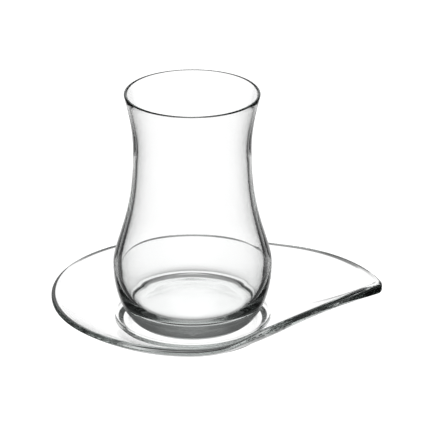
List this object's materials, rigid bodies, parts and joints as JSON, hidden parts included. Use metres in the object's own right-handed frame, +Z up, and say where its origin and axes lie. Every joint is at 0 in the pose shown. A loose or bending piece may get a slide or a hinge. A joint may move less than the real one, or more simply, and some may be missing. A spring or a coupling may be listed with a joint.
{
  "type": "turkish tea glass",
  "caption": "Empty clear tea glass with a narrow waist and a thick base, standing in the well of a drop-shaped clear glass saucer.",
  "frame": {"origin": "on the glass's axis, on the surface that the saucer stands on, at the centre of the saucer's flat foot", "axes": "+X towards the saucer's tip, +Y towards its round back edge, +Z up along the glass's axis"},
  "size_m": [0.1247, 0.1062, 0.0939],
  "materials": {
    "glass": "clear pressed glass, fire-polished",
    "saucer": "clear pressed glass, fire-polished"
  },
  "bodies": {
    "root": {"glass": "glass", "saucer": "saucer"}
  },
  "joints": []
}
